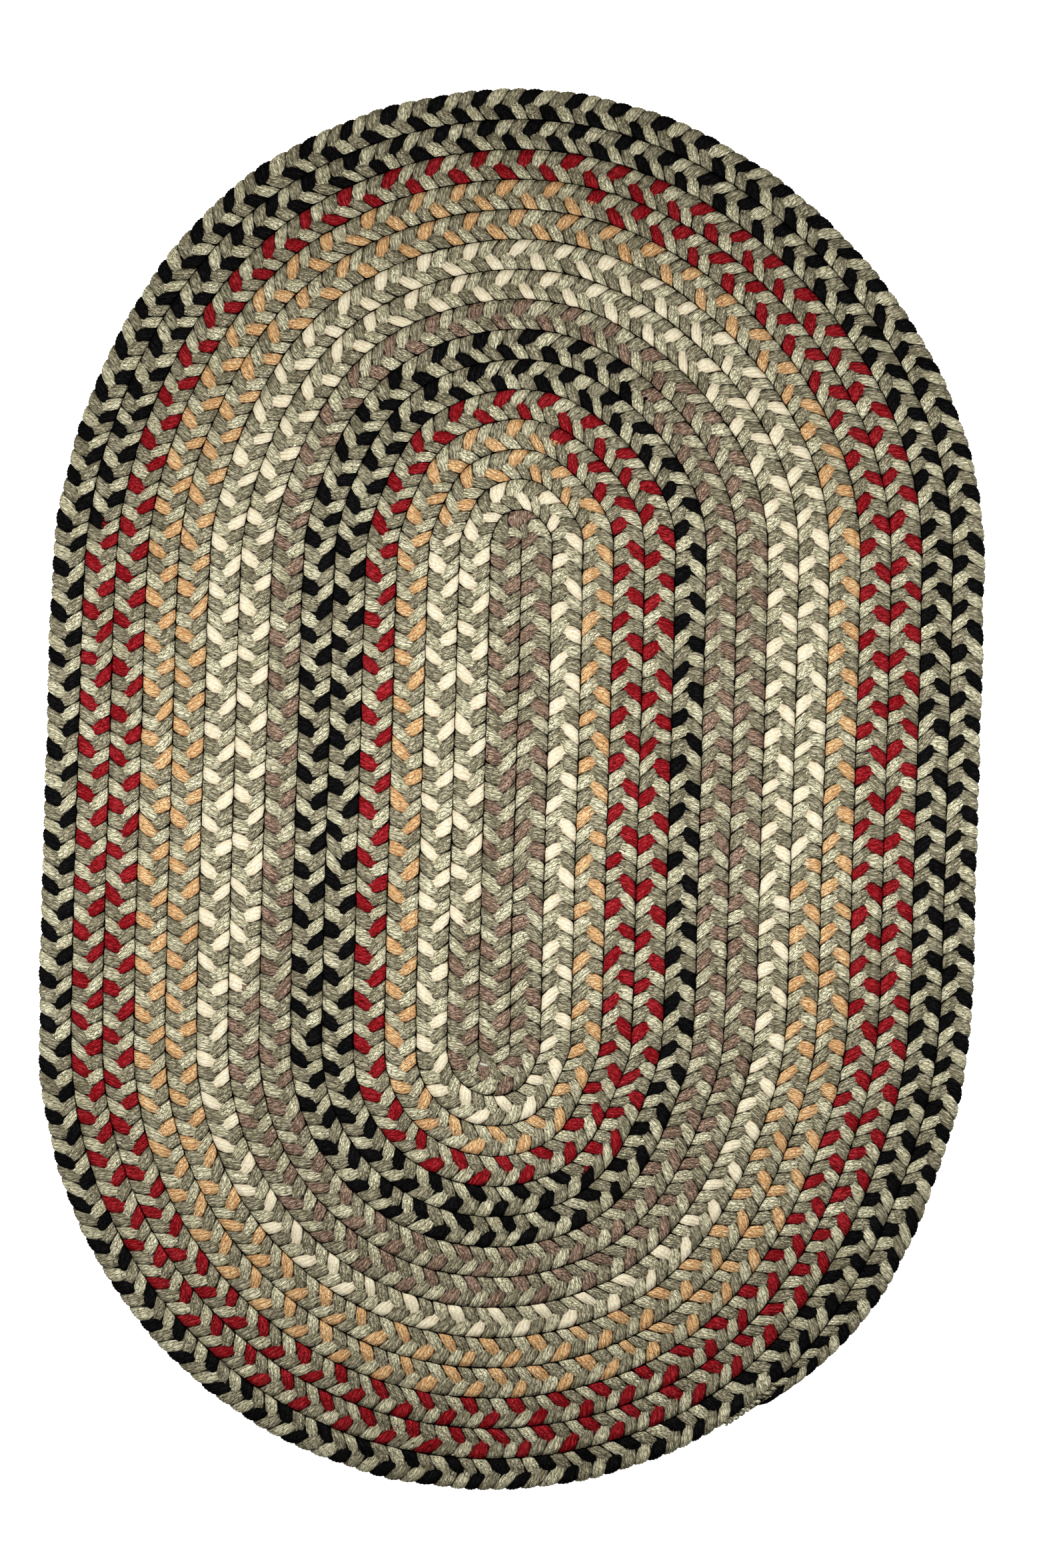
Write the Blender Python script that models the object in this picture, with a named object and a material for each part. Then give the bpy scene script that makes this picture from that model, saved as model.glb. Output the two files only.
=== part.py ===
"""An oval braided rug: one long three-strand braid, wound into an oval coil and laced round against round.

Every round stands up as a flat-topped rib on both faces, with a groove where it meets the next one. The braid
starts in the middle of the rug and runs up its left, round the top, down its right and round the bottom. Its
tapered end lies against the last whole round, at the bottom right. X runs across the rug, Y along it and Z up.
Sizes are in metres.
"""

import math

import bmesh
import bpy

# The even oval that the coil follows.
WIDTH = 0.6096
LENGTH = 0.9144
THICKNESS = 0.010
ROUNDS = 15
BRAID = WIDTH / (2 * ROUNDS)
TOP = LENGTH / 2 - ROUNDS * BRAID
BOTTOM = -(LENGTH / 2 - (ROUNDS - 0.5) * BRAID)
STRAIGHT = TOP - BOTTOM
OUTER_ARC = math.pi * ROUNDS * BRAID

# One round across its width: a flat crest, sloping down to a groove on either side.
GROOVE = 0.003
CREST = 0.44

# The hand-laced rug's unevenness. Its top end leans to the right of its bottom end, and the first rounds are
# longer than an even coil's and lie a little up and to the right.
LEAN = 0.004
LEAN_REACH = 0.20
INNER_STRETCH = 0.0097
INNER_UP = 0.0013
INNER_RIGHT = 0.0025

# Where the outline is flatter than the oval: measured along the outer round from the foot of its left side, where
# each flat starts, is deepest and ends, and its depth at the first round and at the last.
FLATS = (
    {"start": 0.250, "deepest": 0.440, "end": 0.631, "inner": 0.004, "outer": 0.007},
    {"start": 0.794, "deepest": 1.043, "end": 1.291, "inner": 0.005, "outer": 0.007},
    {"start": 1.537, "deepest": 1.702, "end": 1.932, "inner": 0.005, "outer": 0.010},
)

FLATS_FADE = 3

# How finely each stretch of a round is divided, and how much of the last bottom arc the tapered end takes.
STEPS = {"left": 4, "top": 24, "right": 4, "bottom": 24}
TAIL_START = 4
TAIL_END = 9

YARN = (0.30, 0.28, 0.20, 1.0)


def even_oval(stretch, share, out):
    """A point of the even coil, and the way out from there. Out is in braid widths, at the stretch's start."""
    if stretch == "left":
        return -out * BRAID, BOTTOM + STRAIGHT * share, -1.0, 0.0
    if stretch == "right":
        return out * BRAID, TOP - STRAIGHT * share, 1.0, 0.0
    if stretch == "top":
        angle = math.pi * (1 - share)
        radius = out * BRAID
        return radius * math.cos(angle), TOP + radius * math.sin(angle), math.cos(angle), math.sin(angle)
    angle = -math.pi * share
    radius = (out + 0.5) * BRAID
    return radius * math.cos(angle) - BRAID / 2, BOTTOM + radius * math.sin(angle), math.cos(angle), math.sin(angle)


def flat_depth(stretch, share, rounds_out):
    """How far in a flat draws the coil at this place of a round. It fades out towards the middle."""
    before = {"left": 0, "top": STRAIGHT, "right": STRAIGHT + OUTER_ARC, "bottom": 2 * STRAIGHT + OUTER_ARC}
    along = before[stretch] + share * (STRAIGHT if stretch in ("left", "right") else OUTER_ARC)
    depth = 0.0
    for flat in FLATS:
        if along < flat["deepest"]:
            reach = (along - flat["start"]) / (flat["deepest"] - flat["start"])
        else:
            reach = (flat["end"] - along) / (flat["end"] - flat["deepest"])
        swell = math.sin(math.pi / 2 * min(max(reach, 0), 1)) ** 2
        depth += swell * (flat["inner"] + (flat["outer"] - flat["inner"]) * rounds_out / ROUNDS)
    return depth * min(rounds_out / FLATS_FADE, 1)


def place(turn, stretch, share, across):
    """A point of the uneven coil. Across runs from -0.5 at the round's inner groove to 0.5 at its outer one."""
    out = turn - 0.5 + across
    x, y, out_x, out_y = even_oval(stretch, share, out)
    rounds_out = out + (share if stretch == "bottom" else 0)
    inness = 1 - min(rounds_out / ROUNDS, 1)
    sway = math.sin(math.pi / 2 * min(max(y / LEAN_REACH, -1), 1))
    depth = flat_depth(stretch, share, rounds_out)
    x += LEAN * sway + INNER_RIGHT * inness - depth * out_x
    y += (INNER_STRETCH * sway + INNER_UP) * inness - depth * out_y
    return x, y


def stations():
    """Every step along the coil: its turn, its stretch, its share of the stretch and how much braid is left."""
    steps = []
    for turn in range(1, ROUNDS + 1):
        for stretch, count in STEPS.items():
            for step in range(count):
                last = turn == ROUNDS and stretch == "bottom"
                if last and step > TAIL_END:
                    break
                gone = min(max((step - TAIL_START) / (TAIL_END - TAIL_START), 0), 1) if last else 0
                steps.append((turn, stretch, step / count, 1 - gone * gone * (3 - 2 * gone)))
    return steps


def ridge(inner, outer, left):
    """The four points across one face of a round, from groove to groove, as x, y and height over the groove."""
    points = []
    for share, height in ((0, 0), (0.5 - CREST / 2, 1), (0.5 + CREST / 2, 1), (1, 0)):
        x = inner[0] + (outer[0] - inner[0]) * share
        y = inner[1] + (outer[1] - inner[1]) * share
        points.append((x, y, height * GROOVE * math.sqrt(left)))
    return points


def coil_rows():
    """The coil's ridge points, station by station."""
    rows = []
    for turn, stretch, share, left in stations():
        inner = place(turn, stretch, share, -0.5)
        outer = place(turn, stretch, share, -0.5 + left)
        rows.append(ridge(inner, outer, left))
    return rows


def start_rows():
    """The rounded start of the braid: the crest and groove points of half a round, spun about its middle."""
    first = place(1, "left", 0, -0.5)
    second = place(1, "left", 0, 0.5)
    middle = ((first[0] + second[0]) / 2, (first[1] + second[1]) / 2)
    rows = []
    for step in range(STEPS["bottom"] + 1):
        groove = place(1, "bottom", step / STEPS["bottom"], -0.5)
        x = middle[0] + (groove[0] - middle[0]) * CREST
        y = middle[1] + (groove[1] - middle[1]) * CREST
        rows.append(((x, y, GROOVE), (groove[0], groove[1], 0)))
    return rows


def add_strip(faces, first, rows, points_across):
    """Quads between neighbouring rows of points, facing up."""
    for row in range(rows - 1):
        for column in range(points_across - 1):
            near = first + row * points_across + column
            far = near + points_across
            faces.append((near, far, far + 1, near + 1))


def one_face():
    """The points and faces of the rug's upper face, with height counted from the grooves."""
    coil = coil_rows()
    start = start_rows()
    points = [point for row in coil for point in row]
    faces = []
    add_strip(faces, 0, len(coil), 4)
    first = len(points)
    points += [point for row in start for point in row]
    add_strip(faces, first, len(start), 2)
    faces.append(tuple(first + 2 * row for row in reversed(range(len(start)))))
    outer_rows = range(len(coil) - 1 - sum(STEPS.values()), len(coil))
    rim = [4 * row + 3 for row in outer_rows]
    return points, faces, rim


def rug_mesh():
    """Both faces, back to back, and the rim that joins their outermost grooves."""
    points, faces, rim = one_face()
    middle_x = (min(point[0] for point in points) + max(point[0] for point in points)) / 2
    middle_y = (min(point[1] for point in points) + max(point[1] for point in points)) / 2
    upper = [(x - middle_x, y - middle_y, THICKNESS - GROOVE + rise) for x, y, rise in points]
    lower = [(x - middle_x, y - middle_y, GROOVE - rise) for x, y, rise in points]
    below = len(points)
    quads = list(faces)
    quads += [tuple(below + index for index in reversed(face)) for face in faces]
    quads += [(near, far, below + far, below + near) for near, far in zip(rim, rim[1:])]
    mesh = bpy.data.meshes.new("braided_rug")
    mesh.from_pydata(upper + lower, [], quads)
    return mesh


def yarn_material():
    material = bpy.data.materials.new("wool_yarn")
    material.use_nodes = True
    shader = material.node_tree.nodes["Principled BSDF"]
    shader.inputs["Base Color"].default_value = YARN
    shader.inputs["Roughness"].default_value = 0.95
    return material


def make_rug():
    mesh = rug_mesh()
    joined = bmesh.new()
    joined.from_mesh(mesh)
    bmesh.ops.remove_doubles(joined, verts=joined.verts, dist=0.0001)
    joined.to_mesh(mesh)
    joined.free()
    mesh.materials.append(yarn_material())
    rug = bpy.data.objects.new("braided_rug", mesh)
    bpy.context.collection.objects.link(rug)


for old in list(bpy.data.objects):
    bpy.data.objects.remove(old)
make_rug()
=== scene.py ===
"""The looks of the oval braided rug: three strands of yarn, plaited, wound into a coil and laced.

Each strand starts as a straight cord, an outline of four yarns drawn out along X. It is folded as in a
straight braid, and the braid is then pressed together and laid along the coil. Sizes are in metres.
"""

import math
import random

import bpy
import numpy as np
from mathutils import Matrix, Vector


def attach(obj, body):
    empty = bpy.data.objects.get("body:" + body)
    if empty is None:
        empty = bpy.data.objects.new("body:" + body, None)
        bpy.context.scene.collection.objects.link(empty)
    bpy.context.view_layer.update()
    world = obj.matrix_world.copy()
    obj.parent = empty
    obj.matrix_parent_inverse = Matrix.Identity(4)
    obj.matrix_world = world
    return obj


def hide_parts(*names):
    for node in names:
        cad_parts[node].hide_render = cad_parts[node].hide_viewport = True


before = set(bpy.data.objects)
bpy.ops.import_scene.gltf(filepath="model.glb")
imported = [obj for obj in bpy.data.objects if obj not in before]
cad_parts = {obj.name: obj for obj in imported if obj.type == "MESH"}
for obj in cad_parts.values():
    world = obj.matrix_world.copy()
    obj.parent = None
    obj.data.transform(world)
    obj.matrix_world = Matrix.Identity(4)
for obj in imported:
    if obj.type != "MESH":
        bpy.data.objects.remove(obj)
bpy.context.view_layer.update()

# The even oval that the coil follows, and the hand-laced rug's unevenness, as in the solid.
WIDTH = 0.6096
LENGTH = 0.9144
THICKNESS = 0.010
ROUNDS = 15
BRAID = WIDTH / (2 * ROUNDS)
TOP = LENGTH / 2 - ROUNDS * BRAID
BOTTOM = -(LENGTH / 2 - (ROUNDS - 0.5) * BRAID)
STRAIGHT = TOP - BOTTOM
OUTER_ARC = math.pi * ROUNDS * BRAID
LEAN = 0.004
LEAN_REACH = 0.20
INNER_STRETCH = 0.0097
INNER_UP = 0.0013
INNER_RIGHT = 0.0025
FLATS = (
    {"start": 0.250, "deepest": 0.440, "end": 0.631, "inner": 0.004, "outer": 0.007},
    {"start": 0.794, "deepest": 1.043, "end": 1.291, "inner": 0.005, "outer": 0.007},
    {"start": 1.537, "deepest": 1.702, "end": 1.932, "inner": 0.005, "outer": 0.010},
)
FLATS_FADE = 3  # the rounds over which the flats deepen, from the middle
STRETCHES = ("left", "top", "right", "bottom")

# The tapered end, as shares of the last bottom arc: past its tip, two thin cords go on as a twist.
TAIL_START = 0.167
TAIL_TIP = 0.300
TAIL_GONE = 0.375
TWIST_START = 0.278
TWIST_END = 0.326
TWIST_ACROSS = -0.46  # its middle line, in braid widths
TWIST_RADII = (0.0016, 0.0010)  # of its cords, at its start and its end
TWIST_TURNS = 5
TWIST_TEXTURE = 0.3  # how much of the texture its thin cords take, against a strand
TWIST_CORDS = (("light_sage", 0), ("dark_sage", 0.5))  # how far round each one is, in turns

# The braid. In a plait, a strand swings once to either side of the middle and folds over there, so that it
# runs twice over and twice under the others.
PLAIT = 0.0298
STRANDS = 3
SWING = 0.0094
SWING_SQUARE = 0.04
LIFT = 0.0026
LIFT_SQUARE = 0.08
CORD_PLAIT = 0.040  # the length of cord in one plait
CORD_ANGLE = math.radians(45)  # between the cord and the braid
RINGS = 12
FOLD_STEPS = 0.02  # sets the rings closer where a strand folds over, in plaits
PLUMP = 0.15  # how much fatter a strand is where it shows

# Where the strands start and how far short of the braid's last third of a plait they end, in plaits. Each
# sage strand comes with how far it lags behind the third one.
SAGE_CORDS = (("light_sage", 1 / STRANDS), ("dark_sage", 2 / STRANDS))
SAGE_START = -1
SAGE_SHORT = 0.3
THIRD_START = -2 / STRANDS
THIRD_SHORT = 0.45

# A cord's ends: how far past its last rings it is rounded off and then shut, in plaits, and how thick it is
# there.
CAP_REACH = (0.04, 0.05)
CAP_THICKNESS = (0.7, 0.002)
MERGE = 0.00005  # the points that are drawn into one at a shut end lie this close together

# The braid's pinched first end: where it reaches its full width, over what length, and the square of the
# least width.
START_FULL = -0.004
START_PINCH = 0.014
START_LEFT = 0.2

# The rounds press each other flat where they meet, and the braid's two faces are flattened too.
EDGE_LIMIT = 0.508  # where a round ends, in braid widths from its middle
EDGE_TURN = 16  # how sharply
EDGE_FREE = 0.95  # the swing that is left where no round follows
FREE_FADE = 0.03  # the length over which the last round's outer edge comes free
FACE_TURN = 8  # how sharply the faces are flattened

# The hand's unevenness: how much each measure changes along the braid, over waves of about what length, and
# the seed of its random draws. A strand's thickness and the braid's width and height change by shares of
# themselves. Skew is how far the outer edge runs ahead of the inner one, and pace how far both run ahead, in
# metres. The edges lie further out or in, in braid widths.
UNEVEN = {
    "thickness": {"amount": 0.05, "wave": 0.016, "seed": 20},
    "width": {"amount": 0.03, "wave": 0.07, "seed": 3},
    "skew": {"amount": 0.0035, "wave": 0.11, "seed": 4},
    "pace": {"amount": 0.0010, "wave": 0.06, "seed": 5},
    "height": {"amount": 0.05, "wave": 0.05, "seed": 6},
    "outer_edge": {"amount": 0.020, "wave": 0.011, "seed": 7},
    "inner_edge": {"amount": 0.020, "wave": 0.011, "seed": 8},
}
WAVES = 4
WAVE_SPREAD = (0.6, 1.7)

# The painted shade between strands: at the middle of the braid's height, and where a round meets the next
# one.
MIDDLE_SHADE = 0.75
SHADE_RISE = 0.0018  # how far above or below the middle it has faded out
GROOVE_SHADE = 0.5
SHADE_REACH = 0.025  # how far from the edge it has faded out, in braid widths
FREE_LIGHT = 0.8  # how much of the shade is gone where no round follows

# A strand's section: yarns side by side on either face. Its width lies along the braid.
STRAND_WIDTH = 0.0105
STRAND_THICKNESS = 0.0052
STRAND_SQUARE = 2.4  # at 2 it would be an ellipse
YARNS = 4
YARN_GAP = 0.0006
OUTLINE_POINTS = 4 * YARNS  # by turns in a gap and on a yarn, over one face and back along the other

# The pale stitch at the braid's first end: its middle, its length, its slope and how deep its ends go down.
STITCH_X = -0.0183
STITCH_Y = -0.1801
STITCH = 0.0052
STITCH_SLOPE = 1 / 3
STITCH_DROP = 0.0030
STITCH_RADIUS = 0.0009
STITCH_STEPS = (-1, -0.8, -0.4, 0, 0.4, 0.8, 1)
STITCH_TIP = 0.01  # how thick its ends are, to the rest of it
BELOW_TOP = 0.0004  # how far below the rug's top the twist's upper side and the stitch's middle line are

# The web of lacing, whose near-black is in part painted shade in the gaps it shows through: its upper side,
# its thickness, and how far across the last round it reaches.
LACING_TOP = 0.0052
LACING_THICKNESS = 0.0014
LACING_ACROSS = 0.55
LACING_POINTS = 240
LACING_SHORT = (0.02, 0.01)  # what its rim lacks of a whole round up to the tip, at its start and its end

# Where each colour of the third strand ends, outwards from the middle.
BANDS = (
    {"yarn": "taupe", "turn": 2, "stretch": "left", "share": 0.26},
    {"yarn": "cream", "turn": 3, "stretch": "top", "share": 0.05},
    {"yarn": "peach", "turn": 4, "stretch": "top", "share": 0.55},
    {"yarn": "red", "turn": 5, "stretch": "bottom", "share": 0.29},
    {"yarn": "black", "turn": 7, "stretch": "top", "share": 0.74},
    {"yarn": "taupe", "turn": 9, "stretch": "left", "share": 0.15},
    {"yarn": "cream", "turn": 10, "stretch": "right", "share": 0.66},
    {"yarn": "peach", "turn": 12, "stretch": "top", "share": 0.545},
    {"yarn": "red", "turn": 14, "stretch": "top", "share": 0.015},
    {"yarn": "black", "turn": 15, "stretch": "bottom", "share": TAIL_TIP},
)

# The photographed frame: its size, where the rug's middle lies in it and how large a pixel is.
FRAME_PIXELS = (1568, 2352)
MIDDLE_PIXEL = (768.0, 1183.5)
PIXEL = 0.0004354
CAMERA_HEIGHT = 4.0
SENSOR = 36  # millimetres

# The light: a long strip close over the middle of the rug, so that both ends are darker and warmer, and a
# lamp from one side.
WHITE = (1, 1, 1)
WARM = (1, 0.92, 0.78)
LAMPS = (
    {"name": "strip", "place": (0, 0, 0.60), "width": 1.6, "depth": 0.10, "watts": 8.9, "colour": WHITE},
    {"name": "key", "place": (-1.1, 1.6, 2.5), "width": 1.6, "depth": 1.6, "watts": 36, "colour": WARM},
)
WORLD_STRENGTH = 0.1
FLOOR_SIZE = 60
FLOOR_GREY = 0.86
FLOOR_GLOW = 1.0


# ---- The coil ----


def stretch_length(turn, stretch):
    """How long a stretch of the even coil is, along the middle of the braid."""
    if stretch == "top":
        return math.pi * (turn - 0.5) * BRAID
    if stretch == "bottom":
        return math.pi * turn * BRAID
    return STRAIGHT


def coil_starts():
    """How far along the braid each stretch starts, with the whole length last."""
    starts = [0.0]
    for turn in range(1, ROUNDS + 1):
        for stretch in STRETCHES:
            starts.append(starts[-1] + stretch_length(turn, stretch))
    return starts


STARTS = coil_starts()


def along(turn, stretch, share):
    """How far along the braid a place on the coil is."""
    index = len(STRETCHES) * (turn - 1) + STRETCHES.index(stretch)
    return STARTS[index] + share * (STARTS[index + 1] - STARTS[index])


TIP = along(ROUNDS, "bottom", TAIL_TIP)


def flat_depth(swept, rounds_out):
    """How far in the flats draw the coil. Swept is measured along the outer round, as the flats are."""
    depth = 0.0
    for flat in FLATS:
        rising = (swept - flat["start"]) / (flat["deepest"] - flat["start"])
        falling = (flat["end"] - swept) / (flat["end"] - flat["deepest"])
        swell = np.sin(np.pi / 2 * np.clip(np.minimum(rising, falling), 0, 1)) ** 2
        depth = depth + swell * (flat["inner"] + (flat["outer"] - flat["inner"]) * rounds_out / ROUNDS)
    return depth * np.clip(rounds_out / FLATS_FADE, 0, 1)


def on_coil(distance, across):
    """X and Y of points of the braid: distance along it, and across from -0.5 at its inner edge to 0.5."""
    starts = np.array(STARTS)
    index = np.clip(np.searchsorted(starts, distance, side="right") - 1, 0, len(starts) - 2)
    share = (distance - starts[index]) / (starts[index + 1] - starts[index])
    turn = index // len(STRETCHES) + 1
    stretch = index % len(STRETCHES)
    is_left, is_top, is_bottom = (stretch == STRETCHES.index(name) for name in ("left", "top", "bottom"))
    arc = is_top | is_bottom
    # The even oval: a point, and the way out from there.
    out = turn - 0.5 + across
    angle = np.where(is_top, np.pi * (1 - share), -np.pi * share)
    out_x = np.where(arc, np.cos(angle), np.where(is_left, -1.0, 1.0))
    out_y = np.where(arc, np.sin(angle), 0.0)
    radius = (out + 0.5 * is_bottom) * BRAID
    x = radius * out_x - 0.5 * BRAID * is_bottom
    run = np.where(is_left, BOTTOM + STRAIGHT * share, TOP - STRAIGHT * share)
    y = np.where(arc, np.where(is_top, TOP, BOTTOM) + radius * out_y, run)
    # The rug's unevenness.
    rounds_out = out + share * is_bottom
    inness = 1 - np.clip(rounds_out / ROUNDS, None, 1)
    sway = np.sin(np.pi / 2 * np.clip(y / LEAN_REACH, -1, 1))
    before = np.array((0, STRAIGHT, STRAIGHT + OUTER_ARC, 2 * STRAIGHT + OUTER_ARC))[stretch]
    swept = before + share * np.where(arc, OUTER_ARC, STRAIGHT)
    depth = flat_depth(swept, rounds_out)
    x = x + LEAN * sway + INNER_RIGHT * inness - depth * out_x
    y = y + (INNER_STRETCH * sway + INNER_UP) * inness - depth * out_y
    return x, y


# ---- The braid ----


def uneven(measure, distance, lag=0):
    """A smooth random change of one measure along the braid, mostly within its amount to either side."""
    draw = random.Random(UNEVEN[measure]["seed"] + lag)
    total = 0.0
    for _ in range(WAVES):
        wave = UNEVEN[measure]["wave"] * draw.uniform(*WAVE_SPREAD)
        total = total + np.sin(2 * np.pi * (distance / wave + draw.random()))
    return UNEVEN[measure]["amount"] * total / math.sqrt(WAVES)


def soft_limit(value, limit, turn):
    """A value held within a limit to either side. The greater the turn, the sharper the corner there."""
    return value / (1 + np.abs(value / limit) ** turn) ** (1 / turn)


def section_points():
    """The outline of a strand across, from its right edge over its upper face and back along the lower."""
    points = []
    for number in range(OUTLINE_POINTS):
        upper = number < 2 * YARNS
        x = 1 - (number % (2 * YARNS)) / YARNS
        y = (1 - abs(x) ** STRAND_SQUARE) ** (1 / STRAND_SQUARE) * STRAND_THICKNESS / 2
        gap = YARN_GAP * (number % 2 == 0)
        if y > gap:
            y -= gap
        else:
            x *= 1 - 2 * gap / STRAND_WIDTH
        points.append((x * STRAND_WIDTH / 2, y) if upper else (-x * STRAND_WIDTH / 2, -y))
    return points


def poly_curve(name, points, thickness=None, closed=False):
    """A curve object through the points."""
    data = bpy.data.curves.new(name, "CURVE")
    data.dimensions = "3D"
    spline = data.splines.new("POLY")
    spline.points.add(len(points) - 1)
    spline.points.foreach_set("co", np.column_stack([points, np.ones(len(points))]).ravel())
    if thickness is not None:
        spline.points.foreach_set("radius", thickness)
    spline.use_cyclic_u = closed
    curve = bpy.data.objects.new(name, data)
    bpy.context.collection.objects.link(curve)
    return curve


def choose(piece):
    """Selects one piece alone and makes it the active one."""
    bpy.ops.object.select_all(action="DESELECT")
    piece.select_set(True)
    bpy.context.view_layer.objects.active = piece


def straight_cord(name, lag, first, last, section):
    """A straight cord along X, from one plait's number to another's, with its ends rounded off and shut.

    Its edges are sharp in the gaps between the yarns.
    """
    turns = np.arange(round((last - first) * RINGS) + 1) / RINGS + first
    turns = turns + FOLD_STEPS * np.sin(4 * np.pi * turns)
    rounded, shut = CAP_REACH
    first_cap = (turns[0] - shut, turns[0] - rounded)
    last_cap = (turns[-1] + rounded, turns[-1] + shut)
    turns = np.concatenate((first_cap, turns, last_cap))
    thickness = 1 - PLUMP * np.cos(8 * np.pi * turns) + uneven("thickness", turns * PLAIT, lag)
    thickness[:2] = CAP_THICKNESS[::-1]
    thickness[-2:] = CAP_THICKNESS
    cord = poly_curve(name, np.outer(turns * PLAIT, (1, 0, 0)), thickness)
    cord.data.twist_mode = "Z_UP"
    cord.data.bevel_mode = "OBJECT"
    cord.data.bevel_object = section
    choose(cord)
    bpy.ops.object.convert(target="MESH")
    cord = bpy.context.object
    mesh = cord.data
    corners = np.empty(2 * len(mesh.edges), np.int32)
    mesh.edges.foreach_get("vertices", corners)
    ends = corners.reshape(-1, 2) % OUTLINE_POINTS
    creased = (ends[:, 0] == ends[:, 1]) & (ends[:, 0] % 2 == 0)
    creases = mesh.attributes.get("sharp_edge") or mesh.attributes.new("sharp_edge", "BOOLEAN", "EDGE")
    creases.data.foreach_set("value", creased)
    return cord


def points_of(mesh):
    """The X, Y and Z of a mesh's vertices, as three arrays."""
    points = np.empty(3 * len(mesh.vertices), np.float32)
    mesh.vertices.foreach_get("co", points)
    return points.reshape(-1, 3).astype(float).T


def lean_texture(mesh, size=1):
    """Sets U to plaits along the cord, leaning as it will in the braid, and V to how far round it is.

    A small size leaves a thin cord's texture as coarse as that of the others.
    """
    x, y, _ = points_of(mesh)
    corners = np.empty(len(mesh.loops), np.int32)
    mesh.loops.foreach_get("vertex_index", corners)
    places = np.empty(2 * len(mesh.loops), np.float32)
    mesh.uv_layers[0].data.foreach_get("uv", places)
    places = places.reshape(-1, 2)
    places[:, 0] = (x / PLAIT - y / CORD_PLAIT * math.cos(CORD_ANGLE))[corners]
    mesh.uv_layers[0].data.foreach_set("uv", size * places.ravel())


def braid_left(distance):
    """How much of the braid's width is left at its pinched start and towards its tapered tip."""
    taper_start = along(ROUNDS, "bottom", TAIL_START)
    taper_end = along(ROUNDS, "bottom", TAIL_GONE)
    gone = np.clip((distance - taper_start) / (taper_end - taper_start), 0, 1)
    begun = np.clip(1 + (distance - START_FULL) / START_PINCH, START_LEFT, 1)
    return (1 - gone * gone * (3 - 2 * gone)) * np.sqrt(begun)


def braid(cord, lag):
    """Bends a straight cord to one strand of a straight braid: X along it, Y across it and Z up."""
    mesh = cord.data
    length, sideways, out = points_of(mesh)
    angle = 2 * np.pi * length / PLAIT
    across = SWING * (np.sin(angle) - SWING_SQUARE * np.sin(3 * angle))
    up = LIFT * (np.sin(2 * angle) + LIFT_SQUARE * np.sin(6 * angle))
    across_step = SWING * (np.cos(angle) - 3 * SWING_SQUARE * np.cos(3 * angle))
    up_step = 2 * LIFT * (np.cos(2 * angle) + 3 * LIFT_SQUARE * np.cos(6 * angle))
    step = np.hypot(across_step, up_step)
    across = across - out * up_step / step
    up = up + out * across_step / step
    distance = length + lag * PLAIT - sideways
    mesh.vertices.foreach_set("co", np.stack([distance, across, up], axis=1).ravel())


def lay_on_coil(strand):
    """Presses the rounds of a straight braid together, makes it uneven and lays it along the coil.

    The painted shade between strands is kept on the piece as its hollow attribute.
    """
    mesh = strand.data
    distance, across, up = points_of(mesh)
    across = across / BRAID * (1 + uneven("width", distance))
    distance = distance + across * uneven("skew", distance) + uneven("pace", distance)
    outer = across > 0
    free = np.clip((distance - along(ROUNDS - 1, "bottom", TAIL_TIP)) / FREE_FADE, 0, 1) * outer
    limit = EDGE_LIMIT + np.where(outer, uneven("outer_edge", distance), uneven("inner_edge", distance))
    pressed = soft_limit(across, limit, EDGE_TURN)
    across = pressed + (across * EDGE_FREE - pressed) * free
    left = braid_left(distance)
    x, y = on_coil(distance, np.where(distance < 0, across * left, (across + 0.5) * left - 0.5))
    up = up * np.sqrt(left) * (1 + uneven("height", distance)) / (THICKNESS / 2)
    up = THICKNESS / 2 * (1 + soft_limit(up, 1, FACE_TURN))
    mesh.vertices.foreach_set("co", np.stack([x, y, up], axis=1).ravel())
    # Painted shade: darkest at the middle of the braid's height and where a round is pressed against the next
    # one, mostly gone on the free outer edge.
    middle_shade = MIDDLE_SHADE * np.clip(1 - np.abs(up - THICKNESS / 2) / SHADE_RISE, 0, 1)
    groove_shade = GROOVE_SHADE * np.clip((np.abs(across) - EDGE_LIMIT) / SHADE_REACH + 1, 0, 1)
    painted_shade = mesh.attributes.new("painted_shade", "FLOAT", "POINT")
    painted_shade.data.foreach_set("value", np.maximum(middle_shade, groove_shade) * (1 - FREE_LIGHT * free))
    mesh.update()


def lay_twist(cord, lag):
    """Winds a straight cord round the twisted end's middle line, and makes its section small and round."""
    mesh = cord.data
    length, sideways, out = points_of(mesh)
    start = along(ROUNDS, "bottom", TWIST_START)
    share = length / (TWIST_TURNS * PLAIT)
    distance = start + share * (along(ROUNDS, "bottom", TWIST_END) - start)
    angle = 2 * np.pi * (length / PLAIT + lag)
    radius = TWIST_RADII[0] + share * (TWIST_RADII[1] - TWIST_RADII[0])
    sideways = sideways * 2 * radius / STRAND_WIDTH
    out = out * 2 * radius / STRAND_THICKNESS + radius
    across = TWIST_ACROSS + (out * np.cos(angle) - sideways * np.sin(angle)) / BRAID
    x, y = on_coil(distance, across)
    up = THICKNESS - BELOW_TOP - 2 * radius + out * np.sin(angle) + sideways * np.cos(angle)
    mesh.vertices.foreach_set("co", np.stack([x, y, up], axis=1).ravel())
    mesh.update()


def close_ends(piece):
    """Draws each shut end into one point, and turns the faces outwards."""
    choose(piece)
    bpy.ops.object.mode_set(mode="EDIT")
    bpy.ops.mesh.select_all(action="SELECT")
    bpy.ops.mesh.remove_doubles(threshold=MERGE)
    bpy.ops.mesh.normals_make_consistent(inside=False)
    bpy.ops.object.mode_set(mode="OBJECT")


def dress(piece, yarn):
    """Gives a piece its yarn's material, and no other."""
    piece.data.materials.clear()
    piece.data.materials.append(YARN_MATERIALS[yarn])


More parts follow.
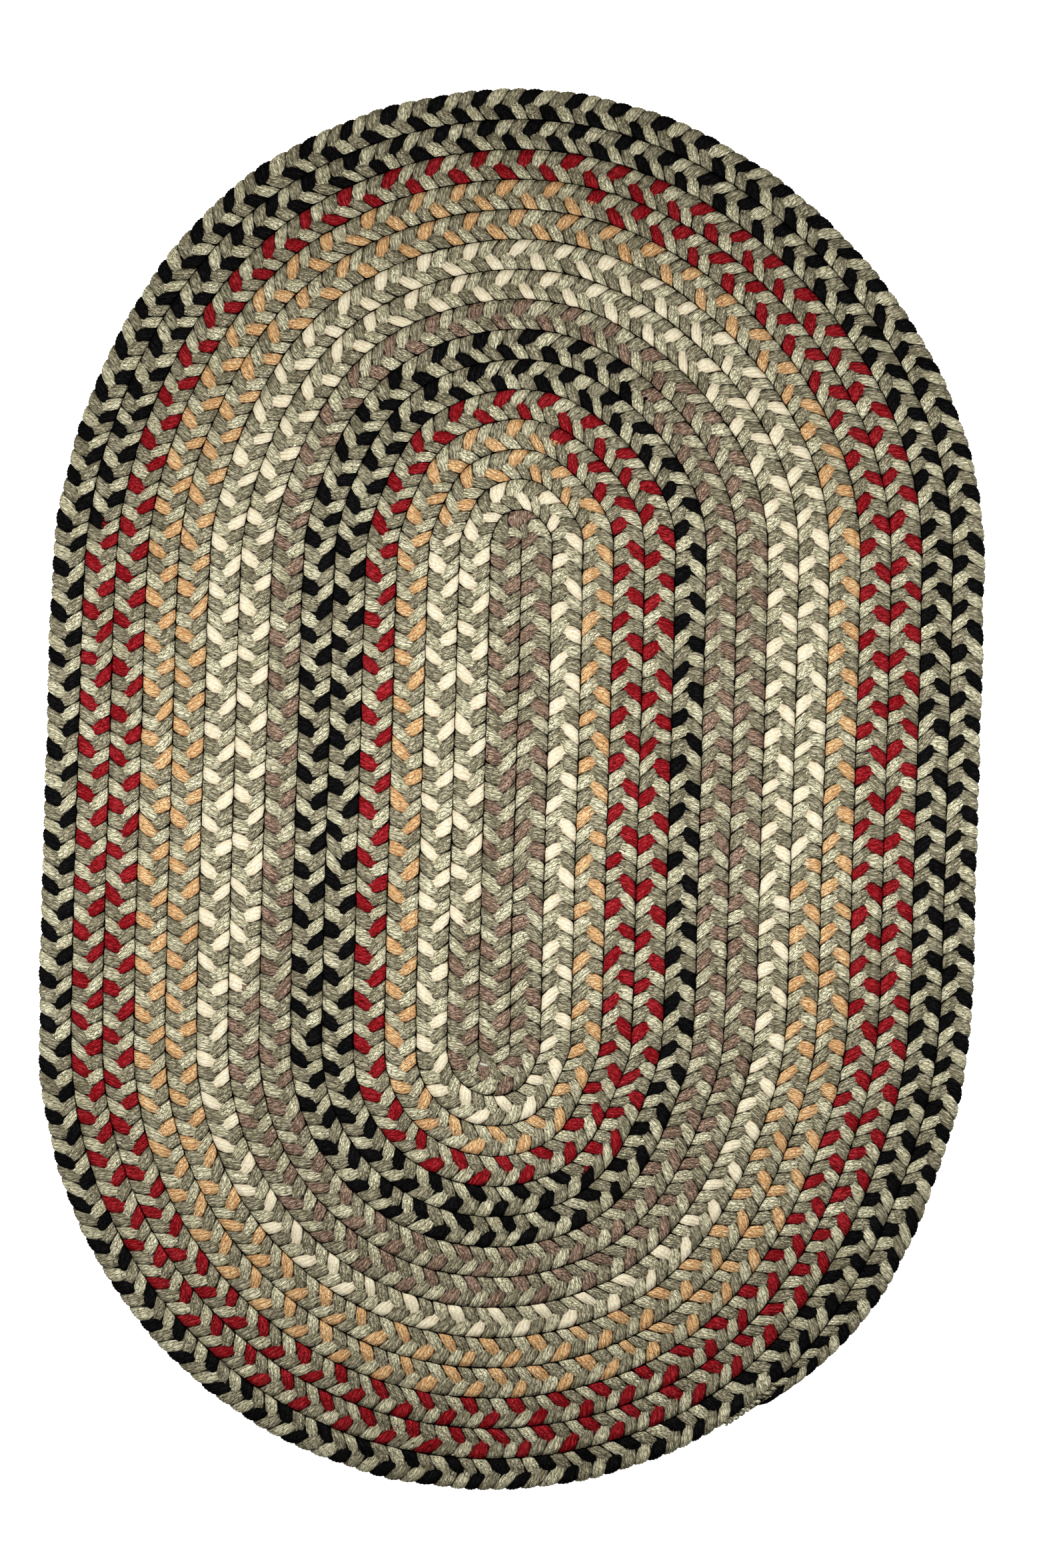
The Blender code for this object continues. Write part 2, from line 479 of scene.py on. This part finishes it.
def make_strand(name, yarn, lag, first, last, section):
    """One length of one strand, laid on the coil."""
    strand = straight_cord(name, lag, first, last, section)
    close_ends(strand)
    lean_texture(strand.data)
    braid(strand, lag)
    lay_on_coil(strand)
    dress(strand, yarn)
    return strand


def make_twist_cord(yarn, lag, section):
    """One of the two thin cords that go on past the braid's tip."""
    cord = straight_cord("twist_" + yarn, lag, 0, TWIST_TURNS, section)
    close_ends(cord)
    lean_texture(cord.data, size=TWIST_TEXTURE)
    lay_twist(cord, lag)
    dress(cord, yarn)
    return cord


def make_braid():
    """The sage strands, each in two lengths, the third strand, a length for each colour, and the twist."""
    section = poly_curve("yarn_section", [(x, y, 0.0) for x, y in section_points()], closed=True)
    last = math.floor(TIP / PLAIT * STRANDS) / STRANDS
    half = round(last / 2)
    strands = []
    for yarn, lag in SAGE_CORDS:
        strands.append(make_strand(yarn + "_inner", yarn, lag, SAGE_START, half, section))
        strands.append(make_strand(yarn + "_outer", yarn, lag, half, last - SAGE_SHORT, section))
    first = THIRD_START
    for number, band in enumerate(BANDS, start=1):
        end = round(along(band["turn"], band["stretch"], band["share"]) / PLAIT)
        if number == len(BANDS):
            end -= THIRD_SHORT
        name = f"band_{number:02d}_{band['yarn']}"
        strands.append(make_strand(name, band["yarn"], 0, first, end, section))
        first = end
    for yarn, lag in TWIST_CORDS:
        strands.append(make_twist_cord(yarn, lag, section))
    bpy.data.objects.remove(section)
    return strands


def make_stitch():
    """The pale stitch that holds the braid's first end down."""
    points = []
    for side in STITCH_STEPS:
        reach = side * STITCH / 2
        up = THICKNESS - BELOW_TOP - STITCH_DROP * side ** 4
        points.append((STITCH_X + reach, STITCH_Y - STITCH_SLOPE * reach, up))
    thickness = [STITCH_TIP if abs(side) == 1 else 1 for side in STITCH_STEPS]
    stitch = poly_curve("start_stitch", points, thickness=thickness)
    stitch.data.bevel_depth = STITCH_RADIUS
    stitch.data.bevel_resolution = 2
    choose(stitch)
    bpy.ops.object.convert(target="MESH")
    stitch = bpy.context.object
    close_ends(stitch)
    dress(stitch, "stitch")
    return stitch


def make_lacing():
    """A thin near-black web inside the rug: the lacing between the rounds, and painted shade in the gaps. Its
    rim lies in the last round.
    """
    last_round = STARTS[-1] - STARTS[-1 - len(STRETCHES)]
    distance = np.linspace(TIP - last_round + LACING_SHORT[0], TIP - LACING_SHORT[1], LACING_POINTS)
    x, y = on_coil(distance, LACING_ACROSS * braid_left(distance) - 0.5)
    rim = np.column_stack([x, y, np.full(LACING_POINTS, LACING_TOP)])
    mesh = bpy.data.meshes.new("lacing_and_gap_shade")
    mesh.from_pydata(rim.tolist(), [], [list(range(LACING_POINTS))])
    web = bpy.data.objects.new("lacing_and_gap_shade", mesh)
    bpy.context.collection.objects.link(web)
    choose(web)
    bpy.ops.object.mode_set(mode="EDIT")
    bpy.ops.mesh.select_all(action="SELECT")
    bpy.ops.mesh.normals_make_consistent(inside=False)
    bpy.ops.mesh.extrude_region_move(TRANSFORM_OT_translate={"value": (0, 0, -LACING_THICKNESS)})
    bpy.ops.mesh.select_all(action="SELECT")
    bpy.ops.mesh.normals_make_consistent(inside=False)
    bpy.ops.object.mode_set(mode="OBJECT")
    dress(web, "lacing_and_gap_shade")
    return web


# ---- The materials ----


class Paint:
    """One value of a material. Python's operators on it add Math nodes."""

    def __init__(self, tree, socket=None):
        self.tree = tree
        self.socket = socket

    def node(self, kind, settings, sockets, output=0):
        """Any other node: its settings first, then the values or links of its sockets."""
        made = self.tree.nodes.new("ShaderNode" + kind)
        for name, value in settings.items():
            setattr(made, name, value)
        for name, value in sockets.items():
            if isinstance(value, Paint):
                self.tree.links.new(value.socket, made.inputs[name])
            else:
                made.inputs[name].default_value = value
        return Paint(self.tree, made.outputs[output])

    def math(self, operation, *values):
        return self.node("Math", {"operation": operation}, dict(enumerate(values)))

    def part(self, vector, axis):
        """One of a vector's parts: X, Y or Z."""
        return self.node("SeparateXYZ", {}, {"Vector": vector}, output=axis)

    def ramp(self, value, start, end, **settings):
        """From 0 to 1 as the value goes from start to end."""
        return self.node("MapRange", settings, {"Value": value, "From Min": start, "From Max": end})

    def blend(self, share, first, second):
        """From the first colour to the second as the share goes from 0 to 1."""
        return self.node("Mix", {"data_type": "RGBA"}, {0: share, 6: first, 7: second}, output=2)

    def __add__(self, other):
        return self.math("ADD", self, other)

    def __sub__(self, other):
        return self.math("SUBTRACT", self, other)

    def __rsub__(self, other):
        return self.math("SUBTRACT", other, self)

    def __mul__(self, other):
        return self.math("MULTIPLY", self, other)

    def __pow__(self, other):
        return self.math("POWER", self, other)

    __radd__ = __add__
    __rmul__ = __mul__


# The yarns' colours: the fibres that catch the light, most fibres, the painted shade in the creases between
# them and the painted shade between strands. Relief is how deep the creases are.
YARN_COLOURS = (
    {
        "name": "light_sage",
        "light": (0.90, 0.87, 0.64),
        "fibre": (0.45, 0.42, 0.272),
        "shade": (0.045, 0.036, 0.018),
        "deep": (0.012, 0.009, 0.005),
        "relief": 1.0,
    },
    {
        "name": "dark_sage",
        "light": (0.56, 0.525, 0.37),
        "fibre": (0.190, 0.170, 0.109),
        "shade": (0.020, 0.016, 0.009),
        "deep": (0.006, 0.005, 0.003),
        "relief": 1.0,
    },
    {
        "name": "taupe",
        "light": (0.50, 0.355, 0.265),
        "fibre": (0.190, 0.124, 0.088),
        "shade": (0.022, 0.012, 0.008),
        "deep": (0.008, 0.004, 0.003),
        "relief": 1.0,
    },
    {
        "name": "cream",
        "light": (0.82, 0.79, 0.64),
        "fibre": (0.74, 0.69, 0.53),
        "shade": (0.56, 0.46, 0.29),
        "deep": (0.18, 0.10, 0.04),
        "relief": 0.45,
    },
    {
        "name": "peach",
        "light": (0.86, 0.64, 0.36),
        "fibre": (0.60, 0.355, 0.155),
        "shade": (0.26, 0.09, 0.025),
        "deep": (0.08, 0.025, 0.006),
        "relief": 0.8,
    },
    {
        "name": "red",
        "light": (0.44, 0.032, 0.040),
        "fibre": (0.23, 0.005, 0.009),
        "shade": (0.06, 0.002, 0.002),
        "deep": (0.02, 0.001, 0.001),
        "relief": 0.9,
    },
    {
        "name": "black",
        "light": (0.012, 0.011, 0.012),
        "fibre": (0.004, 0.004, 0.004),
        "shade": (0.001, 0.001, 0.001),
        "deep": (0.001, 0.001, 0.001),
        "relief": 0.8,
    },
    {
        "name": "stitch",
        "light": (0.90, 0.88, 0.82),
        "fibre": (0.80, 0.77, 0.68),
        "shade": (0.45, 0.42, 0.34),
        "deep": (0.45, 0.42, 0.34),
        "relief": 0.3,
    },
    # The lacing web's near-black: partly the lacing's own colour, partly painted shade in the gaps between
    # rounds and strands.
    {
        "name": "lacing_and_gap_shade",
        "light": (0.020, 0.015, 0.010),
        "fibre": (0.008, 0.006, 0.005),
        "shade": (0.003, 0.002, 0.002),
        "deep": (0.002, 0.001, 0.001),
        "relief": 0.8,
    },
)

# The yarn's pattern. Its lengths are in millimetres.
ROUND_YARN = 20  # round a strand, square to its yarns
SLANT = 0.45  # how steeply the plies and fibres cross the yarn
PLY = (3.0, 0.95)  # the length and width of the part of a ply that shows
PLY_RANDOMNESS = 0.85
PLY_CREASE = (0.15, 0.03)  # how near two plies' edge the crease between them starts, and where it is full
FIBRE = (2.5, 0.75)  # the length and width of a tuft of fibres
FIBRE_NOISE = {"Detail": 2.0, "Roughness": 0.6}
YARN_STEP = 9  # sets the patterns of two yarns apart
YARN_EDGE = 9  # how narrow the crease between two yarns is
STRAND_EDGE = 6  # how narrow the shade at a strand's two edges is
DYE_NOISE = {"Scale": 45.0, "Detail": 2.0}  # on the rug itself, in metres

# What makes a fibre light: its own tuft, the dye and its ply, and the sums at which none and all of it is.
DYE_TONE = 0.35
PLY_TONE = 0.3
LIGHT_RANGE = (0.65, 1.05)

# How much painted shade the creases and the pits between tufts get, and the tuft's value where a pit starts
# and is full.
PLY_SHADE = 0.95
YARN_SHADE = 0.4
PIT_SHADE = 0.75
PIT_RANGE = (0.44, 0.31)

# The fibres break up the creases between plies, yarns and strands: how steeply, and how much they take away.
PLY_BREAKS = (3.2, 0.95)
YARN_BREAKS = (2.0, 0.3)
STRAND_BREAKS = (2.4, 0.2)

# The relief: how high tufts stand and how deep creases go, as shares of a height in metres.
FIBRE_HEIGHT = 0.4
CREASE_DEPTH = 0.5
RELIEF = 0.0008
YARN_ROUGHNESS = 0.92


def yarn_material(name, light, fibre, shade, deep, relief):
    """Heathered two-ply yarn: painted shade in the creases between plies and between yarns, and tufts of
    fibres of uneven tone.
    """
    material = bpy.data.materials.new(name)
    material.use_nodes = True
    tree = material.node_tree
    shader = tree.nodes["Principled BSDF"]
    paint = Paint(tree)
    place = paint.node("UVMap", {"uv_map": "UVMap"}, {})
    lengthways = paint.part(place, "X") * (CORD_PLAIT * 1000)
    around = paint.part(place, "Y") * (2 * YARNS)
    yarn = paint.math("FLOOR", around)
    inside = paint.math("FRACT", around)
    lot = paint.node("TexWhiteNoise", {"noise_dimensions": "1D"}, {"W": yarn + 0.5}, output="Value")
    sideways = around * (ROUND_YARN / (2 * YARNS))
    slanted = lengthways + sideways * SLANT
    across = sideways - lengthways * SLANT

    def streaks(kind, size, settings, values, output=0):
        """A texture drawn out along the slant, of another pattern on each yarn."""
        spot = {"X": slanted * (1 / size[0]), "Y": across * (1 / size[1]), "Z": lot * YARN_STEP}
        spot = paint.node("CombineXYZ", {}, spot)
        return paint.node("Tex" + kind, settings, {"Vector": spot, "Scale": 1.0, **values}, output=output)

    def broken(steepness, taken):
        """How much of a crease the fibres let show."""
        return tuft * steepness - taken

    tuft = streaks("Noise", FIBRE, {}, FIBRE_NOISE)
    randomness = {"Randomness": PLY_RANDOMNESS}
    ply_edge = streaks("Voronoi", PLY, {"feature": "DISTANCE_TO_EDGE"}, randomness)
    ply_tone = paint.part(streaks("Voronoi", PLY, {"feature": "F1"}, randomness, output="Color"), "X")
    ply_crease = paint.ramp(ply_edge, *PLY_CREASE, interpolation_type="SMOOTHSTEP") * broken(*PLY_BREAKS)
    yarn_edge = paint.math("ABSOLUTE", inside * 2 - 1)
    yarn_crease = yarn_edge ** YARN_EDGE * broken(*YARN_BREAKS)
    strand_edge = paint.math("ABSOLUTE", paint.math("FRACT", around * (1 / YARNS)) * 2 - 1) ** STRAND_EDGE
    painted_shade = paint.node("Attribute", {"attribute_name": "painted_shade"}, {}, output="Fac")
    where = paint.node("TexCoord", {}, {}, output="Object")
    dye = paint.node("TexNoise", {}, {"Vector": where, **DYE_NOISE})
    bright = paint.ramp(tuft + dye * DYE_TONE + ply_tone * PLY_TONE, *LIGHT_RANGE)
    colour = paint.blend(bright, (*fibre, 1), (*light, 1))
    pit = paint.ramp(tuft, *PIT_RANGE)
    # Painted shade: the creases between plies and between yarns and the pits between tufts take the shade
    # colour.
    dark = ply_crease * PLY_SHADE + yarn_crease * YARN_SHADE + pit * PIT_SHADE
    colour = paint.blend(paint.node("Clamp", {}, {"Value": dark}), colour, (*shade, 1))
    # Painted shade between strands: a strand's two edges and the shade kept on the piece take the deep
    # colour.
    between = strand_edge + painted_shade * broken(*STRAND_BREAKS)
    colour = paint.blend(paint.node("Clamp", {}, {"Value": between}), colour, (*deep, 1))
    tree.links.new(colour.socket, shader.inputs["Base Color"])
    height = tuft * FIBRE_HEIGHT - ply_crease * CREASE_DEPTH - yarn_crease * CREASE_DEPTH
    bump = paint.node("Bump", {}, {"Height": height, "Distance": RELIEF * relief, "Strength": 1.0})
    tree.links.new(bump.socket, shader.inputs["Normal"])
    shader.inputs["Roughness"].default_value = YARN_ROUGHNESS
    shader.inputs["Specular IOR Level"].default_value = 0.0
    return material


YARN_MATERIALS = {yarn["name"]: yarn_material(**yarn) for yarn in YARN_COLOURS}


# ---- The stage ----


def make_floor():
    """A wide pale floor that glows, so that it stays white under the uneven light."""
    bpy.ops.mesh.primitive_plane_add(size=FLOOR_SIZE, location=(0, 0, 0))
    floor = bpy.context.object
    floor.name = "floor"
    material = bpy.data.materials.new("pale_floor")
    material.use_nodes = True
    shader = material.node_tree.nodes["Principled BSDF"]
    shader.inputs["Base Color"].default_value = (FLOOR_GREY, FLOOR_GREY, FLOOR_GREY, 1)
    shader.inputs["Emission Color"].default_value = (*WHITE, 1)
    shader.inputs["Emission Strength"].default_value = FLOOR_GLOW
    shader.inputs["Roughness"].default_value = 0.9
    shader.inputs["Specular IOR Level"].default_value = 0.1
    floor.data.materials.append(material)


def make_light(name, place, width, depth, watts, colour):
    """A soft lamp that looks at the middle of the floor, and that isn't seen itself."""
    data = bpy.data.lights.new(name, "AREA")
    data.shape = "RECTANGLE"
    data.size = width
    data.size_y = depth
    data.energy = watts
    data.color = colour
    lamp = bpy.data.objects.new(name, data)
    lamp.location = place
    lamp.rotation_euler = Vector(place).to_track_quat("Z", "Y").to_euler()
    lamp.visible_camera = False
    bpy.context.collection.objects.link(lamp)


def make_world():
    """A weak warm light from all sides."""
    world = bpy.data.worlds.new("studio")
    world.use_nodes = True
    background = world.node_tree.nodes["Background"]
    background.inputs["Color"].default_value = (*WARM, 1)
    background.inputs["Strength"].default_value = WORLD_STRENGTH
    bpy.context.scene.world = world


def make_camera():
    """Straight above the middle of the photographed frame, from far enough to see the rug as flat."""
    data = bpy.data.cameras.new("camera")
    data.sensor_fit = "VERTICAL"
    data.sensor_height = SENSOR
    data.lens = SENSOR * CAMERA_HEIGHT / (FRAME_PIXELS[1] * PIXEL)
    camera = bpy.data.objects.new("camera", data)
    right = (FRAME_PIXELS[0] / 2 - MIDDLE_PIXEL[0]) * PIXEL
    up = (MIDDLE_PIXEL[1] - FRAME_PIXELS[1] / 2) * PIXEL
    camera.location = (right, up, CAMERA_HEIGHT + THICKNESS)
    bpy.context.collection.objects.link(camera)
    bpy.context.scene.camera = camera


make_floor()
for lamp in LAMPS:
    make_light(**lamp)
make_world()
make_camera()
bpy.context.scene.view_settings.view_transform = "Standard"

strands = make_braid()
strands.append(make_stitch())
lacing_and_gap_shade = make_lacing()
for piece in [*strands, lacing_and_gap_shade]:
    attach(piece, "root")
    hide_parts("braided_rug")
